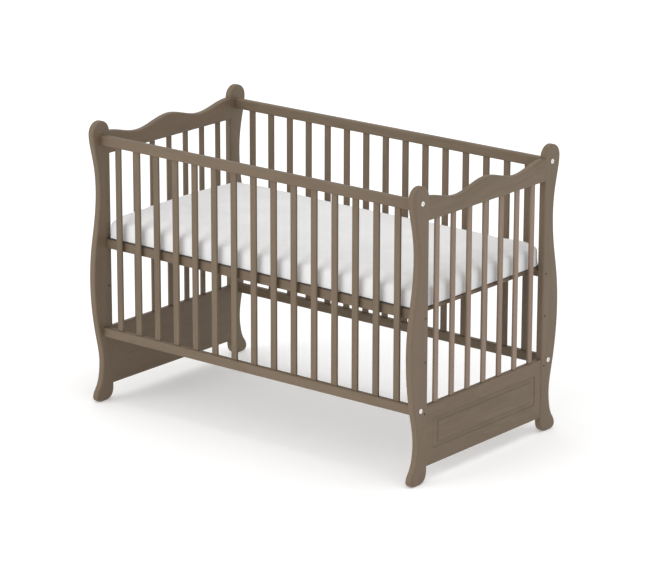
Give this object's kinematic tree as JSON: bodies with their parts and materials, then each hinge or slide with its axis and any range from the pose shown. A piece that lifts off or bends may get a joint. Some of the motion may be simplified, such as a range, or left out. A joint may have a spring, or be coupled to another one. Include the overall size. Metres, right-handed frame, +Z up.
{
  "type": "baby crib",
  "caption": "Baby crib with curved end posts, wavy end rails over low panels, barred sides bolted between the ends, a slatted height-adjustable base and a sheeted mattress.",
  "frame": {"origin": "middle of the footprint, on the floor", "axes": "+X along the crib's length to the end drawn on the right, +Y across it to the rear side, +Z up"},
  "size_m": [1.2528, 0.7212, 0.8921],
  "materials": {
    "stained_wood": "matt taupe stain",
    "bright_steel": "nickel plated",
    "black_steel": "black oxide",
    "dowel_wood": "bare beech",
    "mattress_cover": "knitted ticking",
    "sheet_cotton": "plain cotton"
  },
  "bodies": {
    "root": {"left_front_post": "stained_wood", "left_rear_post": "stained_wood", "right_front_post": "stained_wood", "right_rear_post": "stained_wood", "left_end_top_rail": "stained_wood", "right_end_top_rail": "stained_wood", "left_end_panel": "stained_wood", "right_end_panel": "stained_wood", "left_end_bars": "stained_wood", "right_end_bars": "stained_wood", "front_top_rail": "stained_wood", "front_bottom_rail": "stained_wood", "rear_top_rail": "stained_wood", "rear_bottom_rail": "stained_wood", "front_bar_01": "stained_wood", "front_bar_02": "stained_wood", "front_bar_03": "stained_wood", "front_bar_04": "stained_wood", "front_bar_05": "stained_wood", "front_bar_06": "stained_wood", "front_bar_07": "stained_wood", "front_bar_08": "stained_wood", "front_bar_09": "stained_wood", "front_bar_10": "stained_wood", "front_bar_11": "stained_wood", "front_bar_12": "stained_wood", "front_bar_13": "stained_wood", "front_bar_14": "stained_wood", "front_bar_15": "stained_wood", "rear_bar_01": "stained_wood", "rear_bar_02": "stained_wood", "rear_bar_03": "stained_wood", "rear_bar_04": "stained_wood", "rear_bar_05": "stained_wood", "rear_bar_06": "stained_wood", "rear_bar_07": "stained_wood", "rear_bar_08": "stained_wood", "rear_bar_09": "stained_wood", "rear_bar_10": "stained_wood", "rear_bar_11": "stained_wood", "rear_bar_12": "stained_wood", "rear_bar_13": "stained_wood", "rear_bar_14": "stained_wood", "rear_bar_15": "stained_wood", "side_bolts": "bright_steel", "side_barrel_nuts": "bright_steel", "side_dowels": "dowel_wood", "end_dowels": "dowel_wood"},
    "base": {"base_front_board": "stained_wood", "base_rear_board": "stained_wood", "base_slats": "stained_wood", "slat_screws": "bright_steel", "base_barrel_nuts": "bright_steel"},
    "mattress": {"mattress_core": "mattress_cover", "fitted_sheet": "sheet_cotton"},
    "left_base_bolts": {"left_base_bolts": "black_steel"},
    "right_base_bolts": {"right_base_bolts": "black_steel"}
  },
  "joints": [
    {"name": "base_height", "type": "slide", "parent": "root", "child": "base", "axis": [0, 0, 1], "range_m": [-0.287, 0]},
    {"name": "mattress_lift", "type": "slide", "parent": "base", "child": "mattress", "axis": [0, 0, 1], "range_m": [0, 0.7]},
    {"name": "left_bolts_draw", "type": "slide", "parent": "root", "child": "left_base_bolts", "axis": [-1, 0, 0], "range_m": [0, 0.045]},
    {"name": "right_bolts_draw", "type": "slide", "parent": "root", "child": "right_base_bolts", "axis": [1, 0, 0], "range_m": [0, 0.045]}
  ]
}
